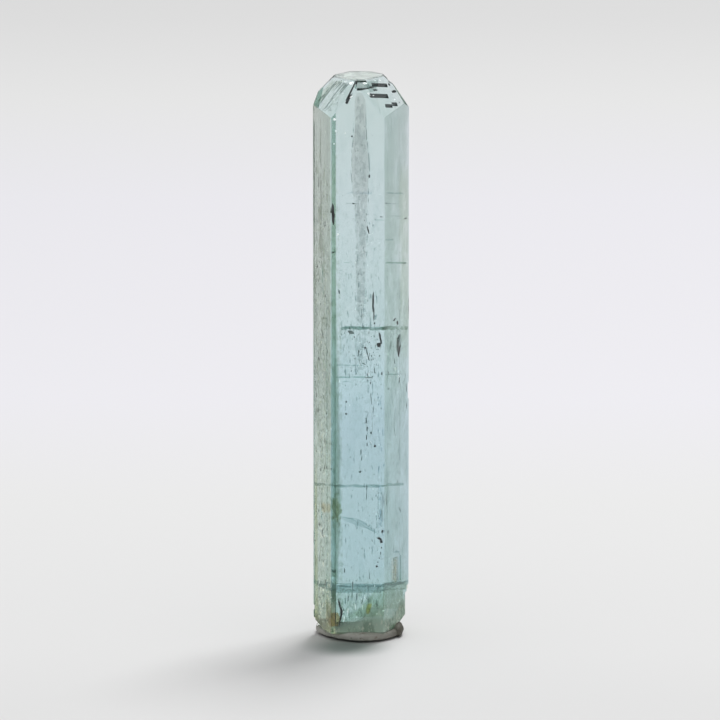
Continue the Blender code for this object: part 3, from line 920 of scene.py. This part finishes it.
def makeFilmMaterial(name, pattern):
    # a film too thin to bend light: it only tints what is seen through it. The tint and the
    # density are stored on its points
    material, tree, shader = newMaterial(name)
    mask = cloudMask(tree, {**pattern, "Density": stored(tree, "stain", "Alpha")})
    color = mixColors(tree, (1.0, 1.0, 1.0), stored(tree, "stain"), mask, "MULTIPLY")
    feed(tree, shader, {
        "Base Color": color, "Transmission Weight": 1.0, "IOR": 1.0, "Specular IOR Level": 0.0,
        "Roughness": 0.0,
    })
    return material


def rowAt(rows, height):
    # left end, right end and strength of a sheet at one height
    for upper, lower in zip(rows, rows[1:]):
        if height >= lower[0]:
            share = min(1.0, (upper[0] - height) / (upper[0] - lower[0]))
            return [a + (b - a) * share for a, b in zip(upper[1:], lower[1:])]
    return rows[-1][1:]


def trimToCrystal(bm, inset):
    # keeps a sheet inside the crystal and clear of its broken edges
    top, foot = Vector((0, 0, topHeight / mm)), Vector((0, 0, crystal["foot"]))
    ends = [(top, Vector((0, 0, 1))), (foot, Vector((0, 0, -1)))]
    for place, facing in sidePlanes() + tipPlanes() + footPlanes() + ends:
        bmesh.ops.bisect_plane(
            bm, geom=bm.verts[:] + bm.edges[:] + bm.faces[:], dist=1e-4, clear_outer=True,
            plane_co=place - facing * inset, plane_no=facing,
        )


def addSheet(bm, face, depth, soft, tint, rows):
    top, bottom = rows[0][0], rows[-1][0]
    count = int((top - bottom) * filmBuild["rowsPerMillimetre"])
    count = max(filmBuild["fewestRows"], min(filmBuild["mostRows"], count))
    chippedBelow, chippedEnd = filmBuild["chipped"]
    sheet = bmesh.new()
    layer = sheet.verts.layers.float_color.new("stain")
    bmesh.ops.create_grid(sheet, x_segments=filmBuild["columns"], y_segments=count, size=0.5)
    for vertex in sheet.verts:
        across, up = vertex.co.x + 0.5, vertex.co.y + 0.5
        height = bottom + up * (top - bottom)
        left, right, strength = rowAt(rows, height)
        if face == "right" and height < chippedBelow:
            right = min(right, chippedEnd)
        side = left + across * (right - left)
        border = min(side - left, right - side, top - height, height - bottom)
        vertex[layer] = (*tint, strength * fadeIn(border, soft))
        vertex.co = underFace(face, side, height, depth)
    trimToCrystal(sheet, filmBuild["inset"])
    bmesh.ops.solidify(sheet, geom=sheet.faces[:], thickness=filmBuild["thickness"])
    pourInto(bm, sheet)


def makeFilms():
    depths = {face: filmBuild["depth"] for face in faceFrames}
    for name, film in films.items():
        bm = bmesh.new()
        bm.verts.layers.float_color.new("stain")
        for face, soft, tint, rows in film["sheets"]:
            addSheet(bm, face, depths[face], soft, tint, rows)
            depths[face] += filmBuild["spacing"]
        insideCrystal(bm, name, makeFilmMaterial(name + "Film", film["pattern"]))


makeFilms()
print("films ready")


partings = {
    # breaks right across the crystal: height at the front, depth, left end, right end, tint
    "breaks": [
        (30.05, 1.5, -1.60, 4.60, (0.62, 0.74, 0.72)),
        (14.98, 0.7, -4.60, 4.30, (0.84, 0.90, 0.89)),
        (4.90, 4.6, -4.60, 4.60, (0.48, 0.60, 0.60)),
    ],
    "backSkew": 0.12,  # how far the back edge of each turns from the front face
    "width": 20.0,  # of the plate that each is cut from
    "thickness": 0.03,
    "inset": 0.05,
    "pattern": {"Scale": 800.0, "Stretch": 1.0, "Low": 0.30, "High": 0.50},
}


def makePartings():
    bm = bmesh.new()
    width, thickness = partings["width"], partings["thickness"]
    for height, depth, left, right, tint in partings["breaks"]:
        plate = bmesh.new()
        bmesh.ops.create_cube(plate, size=1.0)
        bmesh.ops.scale(plate, vec=(width, width, thickness), verts=plate.verts)
        bmesh.ops.translate(plate, vec=(0, 0, height), verts=plate.verts)
        cleaveAll(plate, sidePlanes(), partings["inset"])
        cleave(plate, Vector((left, 0, 0)), Vector((-1, 0, 0)))
        cleave(plate, Vector((right, 0, 0)), Vector((1, 0, 0)))
        backMiddle = direction(0) * (crystal["sides"][0] - depth)
        cleave(plate, backMiddle, Vector((partings["backSkew"], 1, 0)))
        stainAll(plate, tint)
        pourInto(bm, plate)
    insideCrystal(bm, "partings", makeFilmMaterial("partingFilm", partings["pattern"]))


curvedBreak = {
    # a shell-shaped break low in the crystal: its front edge, from left to right
    "lip": [(-1.9, 12.05), (-0.9, 11.85), (0.0, 11.35), (0.85, 10.80), (1.75, 10.35)],
    "behindFront": 0.4,
    "depth": 0.5,
    "fall": 0.28,  # towards the back, for each millimetre
    "ripple": (0.05, 1.7),  # how high its ripples are, and how close together
    "tint": (0.72, 0.82, 0.80),
    "thickness": 0.03,
    "columns": 28,
    "rows": 10,
    "pattern": {"Scale": 900.0, "Stretch": 1.0, "Low": 0.32, "High": 0.52},
}


def makeCurvedBreak():
    left, right = curvedBreak["lip"][0][0], curvedBreak["lip"][-1][0]
    depth = curvedBreak["depth"]
    behind, front = curvedBreak["behindFront"], crystal["sides"][0]
    ripple, closeness = curvedBreak["ripple"]
    bm = bmesh.new()
    columns, rows = curvedBreak["columns"], curvedBreak["rows"]
    bmesh.ops.create_grid(bm, x_segments=columns, y_segments=rows, size=0.5)
    bmesh.ops.scale(bm, vec=(right - left, depth, 1), verts=bm.verts)
    bmesh.ops.translate(bm, vec=((left + right) / 2, depth / 2, 0), verts=bm.verts)
    for vertex in bm.verts:
        x, y = vertex.co.x, vertex.co.y
        height = along(curvedBreak["lip"], x) - curvedBreak["fall"] * y
        height += ripple * noise.noise(Vector((x * closeness, y * closeness, 4.0)))
        vertex.co = Vector((x, y + behind - front, height))
    bmesh.ops.solidify(bm, geom=bm.faces[:], thickness=curvedBreak["thickness"])
    stainAll(bm, curvedBreak["tint"])
    material = makeFilmMaterial("curvedBreakFilm", curvedBreak["pattern"])
    insideCrystal(bm, "curvedBreak", material)


makePartings()
makeCurvedBreak()
print("breaks ready")


cloudyRoot = {
    # two lumps. Each has its left and right end, how far back it reaches, and its top as it shows
    # from left to right
    "lumps": [
        (-4.7, 4.0, 7.0, [
            (-4.7, 2.8), (-3.0, 2.7), (-2.4, 1.8), (-1.2, 2.0), (0.2, 3.0), (1.2, 3.9), (2.2, 4.7),
            (4.6, 5.4),
        ]),
        (-3.05, -2.45, 1.3, [(-3.05, 4.9), (-2.45, 4.5)]),
    ],
    "foot": 0.86,
    "inset": 0.18,
    "leastHeight": 0.1,
    "cuts": 24,
    "unevenness": (0.5, 1.4),  # how high its bumps are, and how close together
    "fade": (0.5, 0.45),  # the share of its height where it starts to thin out, and over how much
    # darkest, middle and palest tone, the size of the blotches, and its painted glow, which stands in
    # for the light it scatters
    "cloud": ((0.36, 0.46, 0.34), (0.66, 0.74, 0.61), (0.93, 0.90, 0.76), 900.0, 0.17),
}
cloudyCap = {
    "drop": 0.12,  # how far it lies under the flat top
    "thickness": 0.04,
    "inset": 0.12,
    "width": 12.0,  # of the plate that it is cut from
    "frontEnd": 1.9,
    # its last number is a faint painted glow
    "cloud": ((0.50, 0.56, 0.54), (0.78, 0.84, 0.81), (0.97, 1.0, 0.99), 1100.0, 0.05),
}


def makeCloudyMaterial(name, cloud):
    # beryl full of tiny cracks, blotched in three tones. It thins out where its points say so, and it
    # glows a little with painted light
    darkest, color, palest, size, paintedGlow = cloud
    material, tree, shader = newMaterial(name)
    for tone, low, high, part in ((darkest, 0.48, 0.60, 1.0), (palest, 0.54, 0.62, 2.1)):
        pattern = {"Scale": size * part, "Stretch": 0.7, "Low": low, "High": high}
        color = mixColors(tree, color, tone, cloudMask(tree, pattern))
    feed(tree, shader, {
        "Base Color": color, "Emission Color": color, "Emission Strength": paintedGlow,
        "Roughness": 0.6, "Alpha": stored(tree, "stain", "Alpha"),
    })
    return material


def addLump(bm, left, right, reach, top):
    lump = bmesh.new()
    body = lump.verts.layers.float_color.new("stain")
    bmesh.ops.create_cube(lump, size=1.0)
    cuts = cloudyRoot["cuts"]
    bmesh.ops.subdivide_edges(lump, edges=lump.edges[:], cuts=cuts, use_grid_fill=True)
    foot, front = cloudyRoot["foot"], crystal["sides"][0]
    bump, closeness = cloudyRoot["unevenness"]
    fadeStart, fadeLength = cloudyRoot["fade"]
    for vertex in lump.verts:
        x = left + (vertex.co.x + 0.5) * (right - left)
        depth = (vertex.co.y + 0.5) * reach
        share = vertex.co.z + 0.5
        high = along(top, x) - sightFall * depth
        high += bump * noise.noise(Vector((x * closeness, depth * closeness, 0)))
        tall = max(cloudyRoot["leastHeight"], high - foot)
        vertex.co = Vector((x, depth - front, foot + share * tall))
        vertex[body] = (1, 1, 1, 1 - fadeIn(share - fadeStart, fadeLength))
    cleaveAll(lump, sidePlanes() + footPlanes(), cloudyRoot["inset"])
    pourInto(bm, lump)


def makeRoot():
    # the cloudy root, which thins out towards its top
    bm = bmesh.new()
    for lump in cloudyRoot["lumps"]:
        addLump(bm, *lump)
    insideCrystal(bm, "cloudyRoot", makeCloudyMaterial("rootCloud", cloudyRoot["cloud"]))


def makeCap():
    # the pale cloud just under the flat top, which glows a little with painted light
    middle = Vector((0, 0, topHeight / mm)) - Vector((0, 0, cloudyCap["drop"]))
    bm = bmesh.new()
    bmesh.ops.create_cube(bm, size=1.0)
    size = (cloudyCap["width"], cloudyCap["width"], cloudyCap["thickness"])
    bmesh.ops.scale(bm, vec=size, verts=bm.verts)
    bmesh.ops.translate(bm, vec=middle, verts=bm.verts)
    cleaveAll(bm, tipPlanes(), cloudyCap["inset"])
    cleave(bm, direction(0) * cloudyCap["frontEnd"], direction(0))
    stainAll(bm, (1, 1, 1))
    insideCrystal(bm, "cloudyCap", makeCloudyMaterial("capCloud", cloudyCap["cloud"]))


makeRoot()
makeCap()
print("cloudy root and cap ready")


# Grains and spindles, one piece for each tone: its two colours, its gloss, its painted glow, and the
# grains under each face. A grain has its side, height, width, tallness, and lean where it isn't
# upright.

darkGrains = {
    "tones": ((0.012, 0.020, 0.020), (0.05, 0.075, 0.075)),
    "roughness": 0.55,
    "paintedGlow": 0.0,
    "front": [
        (1.12, 32.6, 0.17, 1.9, 1), (1.2, 31.5, 0.1, 1.2, 2), (1.25, 30.6, 0.15, 0.18),
        (1.8, 29.2, 0.2, 1.15, -12), (1.67, 28.55, 0.44, 0.44), (0.39, 28.27, 0.18, 0.22),
        (1.95, 25.8, 0.12, 0.32), (-1.38, 23.1, 0.18, 0.16), (-1.38, 21.95, 0.22, 0.16),
        (0.66, 39.45, 0.11, 0.8, -14), (0.78, 44.55, 0.13, 0.35), (-0.84, 48.3, 0.14, 0.2),
        (-0.7, 41.95, 0.26, 0.12), (-2.6, 40.9, 0.3, 1.9), (-2.66, 41.4, 0.22, 1.1, 4),
        (1.3, 18.87, 0.22, 0.26), (2, 10.65, 0.18, 0.3, 12), (1.72, 9.98, 0.45, 0.22, 20),
        (1.9, 9.68, 0.26, 0.34), (1.48, 7.3, 0.2, 0.2), (1.58, 7.7, 0.1, 0.14), (1.72, 8.1, 0.09, 0.12),
        (1.84, 8.6, 0.1, 0.2), (1.92, 9.1, 0.08, 0.2), (-1.98, 3.5, 0.16, 1.2, -12),
        (-1.84, 2.9, 0.22, 0.8), (-1.92, 2.3, 0.18, 1, 12), (-2.02, 1.7, 0.12, 0.6),
        (-2.5, 1.5, 0.12, 0.3),
    ],
    "right": [
        (0.3, 30.95, 0.5, 0.2, -35), (0.85, 30.65, 0.3, 0.42, -10), (1.23, 25.15, 0.13, 0.5),
        (2.6, 24.4, 0.09, 0.9), (2.62, 22.7, 0.09, 0.6), (1.16, 28.1, 0.44, 1.3, 10),
        (-0.82, 25.8, 0.1, 0.25), (2.1, 36.35, 0.55, 0.08), (-1.3, 42, 0.25, 0.12),
        (-0.9, 10.6, 0.12, 0.35),
    ],
    "left": [
        (-0.9, 44, 0.08, 1.2, 2), (-1.3, 31.5, 0.16, 0.5, 10), (-0.9, 27.2, 0.14, 0.4, -20),
        (-1.2, 36, 0.1, 0.3), (0.3, 33.2, 0.12, 0.3, 30), (-0.3, 10.6, 0.12, 0.5, 15),
        (0.5, 22, 0.12, 0.3), (-1.4, 4, 0.2, 0.25),
    ],
    "tipRight": [
        (1.75, 52.6, 0.22, 0.3, -20), (1.95, 51.95, 0.6, 0.24, -15), (1.95, 51, 0.12, 0.12),
        (-0.95, 52.7, 0.8, 0.12, -8), (-0.5, 52.4, 0.6, 0.1, -8),
    ],
}
greyGrains = {
    "tones": ((0.36, 0.47, 0.47), (0.52, 0.64, 0.64)),
    "roughness": 0.6,
    "paintedGlow": 0.0,
    "front": [
        (-0.95, 29.75, 0.62, 0.3, 28), (0.55, 27.9, 0.12, 0.7, -8), (0.7, 27.3, 0.12, 0.6, -14),
        (0.23, 26.75, 0.44, 0.1, 20), (-0.23, 27.8, 0.09, 0.6), (1.25, 26.1, 0.09, 0.6),
        (0.7, 25.42, 0.8, 0.07, 2), (-2.05, 33.6, 0.13, 0.5, -8), (0.95, 23.4, 0.07, 1.2, -6),
        (1.15, 22.3, 0.07, 0.9, 6), (1.9, 40.7, 0.3, 0.07), (0.94, 20.15, 0.2, 0.26),
        (0, 18.3, 0.11, 0.6), (0.06, 17.7, 0.09, 0.5, 8), (-0.08, 16.4, 0.28, 0.2),
        (0.5, 21.3, 0.13, 0.6, -4), (0.58, 20.5, 0.14, 0.5, 6), (0.52, 19.7, 0.12, 0.5),
        (0.58, 19, 0.1, 0.4), (0.54, 14.9, 0.08, 0.8), (0.52, 14.1, 0.07, 0.8), (1.92, 12.4, 0.06, 1.1),
        (2.06, 13.6, 0.06, 1.4), (2.04, 12.2, 0.05, 1.2), (0.78, 6.4, 0.07, 0.8),
        (-0.78, 5.5, 0.1, 0.9), (-1.55, 6.9, 0.12, 0.5), (-0.4, 4.4, 0.12, 0.6),
        (0.1, 3.9, 0.1, 0.5, 10), (-1.2, 4.2, 0.1, 0.7, 4),
    ],
    "right": [
        (1.05, 28.7, 0.62, 1.7, 8), (0.3, 27, 0.1, 0.6), (-0.4, 28.6, 0.1, 0.8, 4),
        (2.3, 40.6, 0.35, 0.14), (0.9, 33.4, 0.2, 0.12), (0.2, 8.9, 0.08, 0.9),
        (1.4, 12.7, 0.1, 0.5, -20), (-1.2, 13.6, 0.08, 1.2), (0.9, 15.4, 0.1, 0.4),
    ],
    "left": [
        (0.2, 40, 0.09, 0.7, 10), (-0.2, 29.5, 0.12, 0.8, -16), (0.6, 27.8, 0.12, 0.6, 22),
        (-1, 22.3, 0.14, 0.6, 10), (0.2, 19.3, 0.13, 0.7, -10), (-0.6, 16.6, 0.14, 0.5, 16),
        (-0.8, 8, 0.13, 0.7), (0.3, 5.8, 0.16, 0.4),
    ],
}
# pale grains, some of them placed as painted glints where the crystal catches the light, all glowing
# with painted light
paleGrainsAndPaintedGlints = {
    "tones": ((0.80, 0.86, 0.84), (0.95, 0.97, 0.96)),
    "roughness": 0.35,
    "paintedGlow": 0.8,  # stands in for the light that they catch inside the crystal
    "front": [
        (-2.15, 39.05, 0.15, 0.15), (-2.45, 49.9, 0.26, 0.2), (-2.35, 48.8, 0.12, 0.2),
        (-2.5, 47.6, 0.1, 0.16), (-1.45, 48.6, 0.1, 0.12), (1.5, 2.7, 0.15, 0.15),
        (2.05, 3, 0.12, 0.16), (-1.25, 2.9, 0.09, 0.7, 6), (-0.55, 3.4, 0.08, 0.6, -4),
        (0.15, 3.3, 0.08, 0.5), (-1.6, 2.2, 0.09, 0.6, 8), (0.35, 4.3, 0.08, 0.4),
    ],
    "right": [
        (0.44, 26.25, 0.3, 0.3), (1.06, 25.5, 0.24, 0.2), (-1.1, 2.6, 0.12, 0.15),
        (0.4, 3.3, 0.1, 0.12), (1.3, 3.9, 0.12, 0.3, 10), (-0.3, 1.9, 0.1, 0.12),
    ],
    "left": [
        (-0.2, 1.9, 0.14, 0.14), (0.3, 2.6, 0.12, 0.2), (-0.8, 2.4, 0.14, 0.16),
        (-1.2, 1.6, 0.12, 0.14), (0.6, 4.4, 0.1, 0.3, 10), (-0.6, 3.6, 0.12, 0.2),
        (0.9, 3.2, 0.1, 0.16), (-0.1, 4.9, 0.1, 0.14),
    ],
    "tipLeft": [
        (1.25, 53.15, 0.6, 0.3, 10), (1.65, 52.95, 0.26, 0.14), (0.3, 53.15, 0.3, 0.1),
        (-0.9, 52.9, 0.22, 0.1, -40), (-1.6, 51.9, 0.18, 0.1, -50), (1.9, 52.1, 0.3, 0.1, -30),
    ],
    "tipRight": [
        (-1.3, 53.15, 0.46, 0.2), (0.1, 53.15, 0.24, 0.12), (0.8, 53.1, 0.24, 0.1, 10),
        (-1.6, 52.2, 0.5, 0.09, 20), (-1.15, 52.05, 0.4, 0.08, -10), (1.5, 51.3, 0.2, 0.12),
    ],
}
grainKinds = {"dark": darkGrains, "grey": greyGrains, "pale": paleGrainsAndPaintedGlints}
grainBuild = {
    "depth": 0.22,
    "flatness": 0.7,
    "unevenness": (0.45, 4),  # how high its bumps are, and how close together
    # a long needle under the left face of the tip: its two ends, its width and its taper
    "needle": ((-1.36, -3.20, 51.36), (-0.40, -2.50, 53.27)),
    "needleWidth": 0.25,
    "needleTaper": 0.8,
}
dust = {
    # loose grains: face, how many, middle and spread across, lowest, highest, biggest
    "scatter": [
        ("front", 110, 0.5, 1.3, 24.6, 30.2, 0.09), ("front", 60, 0.1, 0.4, 30.5, 43.0, 0.07),
        ("front", 45, -0.1, 0.35, 43.0, 52.0, 0.06), ("front", 110, 0.2, 1.3, 31.0, 49.0, 0.05),
        ("front", 80, 0.8, 1.0, 8.0, 24.0, 0.07), ("front", 50, 1.8, 0.2, 7.0, 24.0, 0.07),
        ("front", 50, 0.0, 1.4, 1.5, 6.0, 0.08), ("right", 90, 0.3, 1.5, 23.0, 31.0, 0.09),
        ("right", 60, 0.3, 1.5, 6.0, 49.0, 0.06), ("right", 50, 0.3, 1.5, 1.5, 5.6, 0.08),
        ("left", 140, -0.2, 1.0, 2.0, 49.0, 0.08), ("left", 60, -0.2, 1.0, 1.5, 6.0, 0.10),
        ("left", 420, -0.2, 1.1, 3.0, 43.0, 0.11), ("left", 110, -0.2, 1.1, 1.3, 5.5, 0.13),
        ("tipLeft", 60, -0.4, 1.0, 50.4, 53.2, 0.08),
    ],
    # the ends of each face, and how many of its grains are dark, grey and pale
    "faces": {
        "front": (-2.3, 2.0, (3, 14, 3)), "right": (-1.5, 2.5, (3, 14, 3)),
        "left": (-1.7, 1.2, (1, 8, 9)), "tipLeft": (-1.8, 1.2, (3, 14, 3)),
    },
    "width": (0.4, 1.0),  # as a share of the biggest
    "tallness": (1, 4),  # as a share of the width
    "lean": 12,
    "seed": 11,
}


def makeGrainMaterial(kind):
    material, tree, shader = newMaterial(kind + "Grain")
    grains = grainKinds[kind]
    mask = cloudMask(tree, {"Scale": 4000.0, "Stretch": 0.5, "Low": 0.4, "High": 0.6})
    color = mixColors(tree, *grains["tones"], mask)
    feed(tree, shader, {"Base Color": color, "Roughness": grains["roughness"]})
    # grains with a painted glow give off light, though they are no lamp
    if grains["paintedGlow"]:
        feed(tree, shader, {"Emission Color": color, "Emission Strength": grains["paintedGlow"]})
    return material


def addSpindle(bm, middle, width, tall, lean=0, faces=2):
    # a long grain that narrows at both ends
    made = bmesh.ops.create_icosphere(bm, subdivisions=faces, radius=0.5)["verts"]
    bump, closeness = grainBuild["unevenness"]
    for vertex in made:
        vertex.co *= 1 + bump * noise.noise(vertex.co * closeness + middle * 0.9)
    bmesh.ops.scale(bm, vec=(width, width * grainBuild["flatness"], tall), verts=made)
    turn = Matrix.Rotation(math.radians(lean), 3, "Y")
    bmesh.ops.rotate(bm, cent=(0, 0, 0), matrix=turn, verts=made)
    bmesh.ops.translate(bm, vec=middle, verts=made)


def addNeedle(bm):
    start, end = (Vector(place) for place in grainBuild["needle"])
    radius = grainBuild["needleWidth"] / 2
    made = bmesh.ops.create_cone(
        bm, cap_ends=True, segments=10, radius1=radius,
        radius2=radius * grainBuild["needleTaper"], depth=(end - start).length,
    )["verts"]
    turn = (end - start).to_track_quat("Z", "Y").to_matrix()
    bmesh.ops.rotate(bm, cent=(0, 0, 0), matrix=turn, verts=made)
    bmesh.ops.translate(bm, vec=(start + end) / 2, verts=made)


def addDust(bodies, pick):
    for face, count, middle, spread, low, high, biggest in dust["scatter"]:
        least, most, shares = dust["faces"][face]
        for _ in range(count):
            side = pick.gauss(middle, spread)
            height = pick.uniform(low, high)
            width = biggest * pick.uniform(*dust["width"])
            tall = width * pick.uniform(*dust["tallness"])
            kind = pick.choices(list(grainKinds), shares)[0]
            if least < side < most:
                lean = pick.uniform(-dust["lean"], dust["lean"])
                place = underFace(face, side, height, grainBuild["depth"])
                addSpindle(bodies[kind], place, width, tall, lean, faces=1)


def makeGrains():
    bodies = {kind: bmesh.new() for kind in grainKinds}
    for kind, bm in bodies.items():
        for face in faceFrames:
            for side, height, *shape in grainKinds[kind].get(face, ()):
                addSpindle(bm, underFace(face, side, height, grainBuild["depth"]), *shape)
    addNeedle(bodies["dark"])
    addDust(bodies, random.Random(dust["seed"]))
    for kind, bm in bodies.items():
        insideCrystal(bm, kind + "Grains", makeGrainMaterial(kind))


makeGrains()
print("grains ready")


# The putty

putty = {
    "middle": (-0.2, 0.0),
    "radius": 4.12,
    "height": 0.98,
    "flatSide": (-42, 34, 0.50),  # azimuth, spread, depth of the side pressed flatter
    "rimRoundness": 0.55,
    # how far fingers dented its rim, its top and its lump
    "rimDents": 0.10,
    "topDents": 0.05,
    "lumpDents": 0.12,
    "lumpPlace": (3.46, -0.80, 0.62),
    "lumpSize": (1.16, 2.40, 1.34),
    "lumpFoot": 0.02,
    # its two tones, the specks of dirt in it, the painted shade at its foot, and the darker right side
    "tones": ((0.50, 0.50, 0.455), (0.41, 0.405, 0.36)),
    "specks": (0.55, 0.50, 0.42),
    "paintedFootShade": (0.45, 0.42, 0.36),
    "paintedFootShadeFrom": (0.05, 0.30),  # fully shaded below the first height, unshaded above the second
    "shade": (0.22, 0.21, 0.18),
    "shadeFrom": (1.0, 3.7),
    "roughness": 0.6,
}


def makePuttyMaterial():
    material, tree, shader = newMaterial("greyPutty")
    patches = cloudMask(tree, {"Scale": 700.0, "Stretch": 1.0, "Low": 0.4, "High": 0.65})
    specks = cloudMask(tree, {"Scale": 2600.0, "Stretch": 1.0, "Low": 0.58, "High": 0.68})
    fullyShaded, unshaded = (height * mm for height in putty["paintedFootShadeFrom"])
    # painted shade along the putty's foot, where it meets the floor
    paintedFootShade = remap(tree, objectPlace(tree, "Z"), fullyShaded, unshaded, 1.0, 0.0)
    near, far = (side * mm for side in putty["shadeFrom"])
    shade = remap(tree, objectPlace(tree, "X"), near, far)
    color = mixColors(tree, *putty["tones"], patches)
    for name, mask in (("specks", specks), ("paintedFootShade", paintedFootShade), ("shade", shade)):
        color = mixColors(tree, color, putty[name], mask, "MULTIPLY")
    values = {"Vector": objectPlace(tree), "Scale": 4000.0, "Detail": 4.0}
    grain = addNode(tree, "TexNoise", values, "Fac")
    values = {"Height": grain, "Strength": 0.4, "Distance": 0.05 * mm}
    bump = addNode(tree, "Bump", values)
    feed(tree, shader, {"Base Color": color, "Roughness": putty["roughness"], "Normal": bump})
    return material


def puttyRadius(azimuth):
    flatAzimuth, spread, depth = putty["flatSide"]
    away = (azimuth - flatAzimuth) / spread
    return putty["radius"] - depth * math.exp(-away * away)


def kneaded(place, amount):
    # how far a finger pushed the putty in or out at one place: wide dents, with narrower ones
    # half as deep
    return amount * (noise.noise(place * 0.9) + 0.5 * noise.noise(place * 2.7 + Vector((5, 1, 2))))


def makePad():
    # a round ball pressed flat: its rim stays rounded and its edge wanders
    bm = bmesh.new()
    bmesh.ops.create_uvsphere(bm, u_segments=120, v_segments=32, radius=1.0)
    middle = Vector((*putty["middle"], 0))
    height, roundness = putty["height"], putty["rimRoundness"]
    for vertex in bm.verts:
        level = math.hypot(vertex.co.x, vertex.co.y)
        azimuth = math.degrees(math.atan2(vertex.co.x, -vertex.co.y))
        rise = math.copysign(abs(vertex.co.z) ** roundness, vertex.co.z)
        out = puttyRadius(azimuth) * level ** roundness if level > 1e-6 else 0.0
        away = direction(azimuth)
        spot = middle + away * out + Vector((0, 0, height / 2 * (1 + rise)))
        spot += away * min(0.0, kneaded(spot, putty["rimDents"]))
        lift = kneaded(spot * 1.6, putty["topDents"]) * level
        spot.z = min(height, max(0.0, spot.z + lift))
        vertex.co = spot
    toMetres(bm)
    return objectFrom(bm, "putty", makePuttyMaterial())


def makeLump():
    bm = bmesh.new()
    bmesh.ops.create_uvsphere(bm, u_segments=40, v_segments=20, radius=0.5)
    bmesh.ops.scale(bm, vec=putty["lumpSize"], verts=bm.verts)
    bmesh.ops.translate(bm, vec=putty["lumpPlace"], verts=bm.verts)
    for vertex in bm.verts:
        dent = kneaded(vertex.co * 2, putty["lumpDents"])
        vertex.co += vertex.co.normalized() * min(0.0, dent)
        vertex.co.z = max(putty["lumpFoot"], vertex.co.z)
    toMetres(bm)
    return objectFrom(bm, "lump")


def makePutty():
    made = makePad()
    lump = makeLump()
    press = made.modifiers.new("press", "BOOLEAN")
    press.operation = "UNION"
    press.solver = "EXACT"
    press.object = lump
    settle(made)
    bpy.data.objects.remove(lump, do_unlink=True)
    for face in made.data.polygons:
        face.use_smooth = True
    standFor(made, "putty_pad")


makePutty()
print("putty ready")
